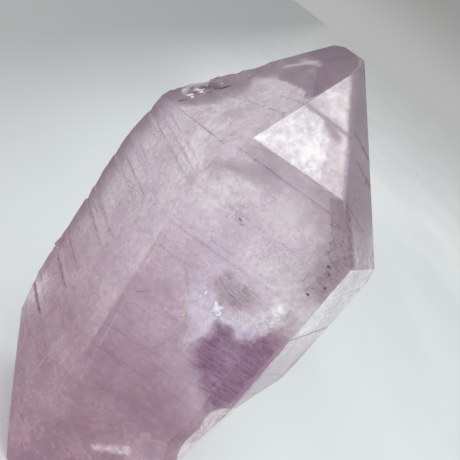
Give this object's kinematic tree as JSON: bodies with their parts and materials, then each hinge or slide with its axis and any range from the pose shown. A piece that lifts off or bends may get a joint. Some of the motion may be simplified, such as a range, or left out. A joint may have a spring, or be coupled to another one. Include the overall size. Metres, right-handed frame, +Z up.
{
  "type": "amethyst crystal point",
  "caption": "Single terminated amethyst point: a flattened six-sided quartz prism with rhombohedral tip faces, standing on a flat cut root.",
  "frame": {"origin": "on the flat cut at the root, under the tip", "axes": "+Z up along the crystal's long axis from root to tip, -Y out of the broad front prism face, +X toward the narrow right side"},
  "size_m": [0.0534, 0.0298, 0.1012],
  "materials": {
    "amethyst": "polished"
  },
  "bodies": {
    "root": {"crystal": "amethyst"}
  },
  "joints": []
}
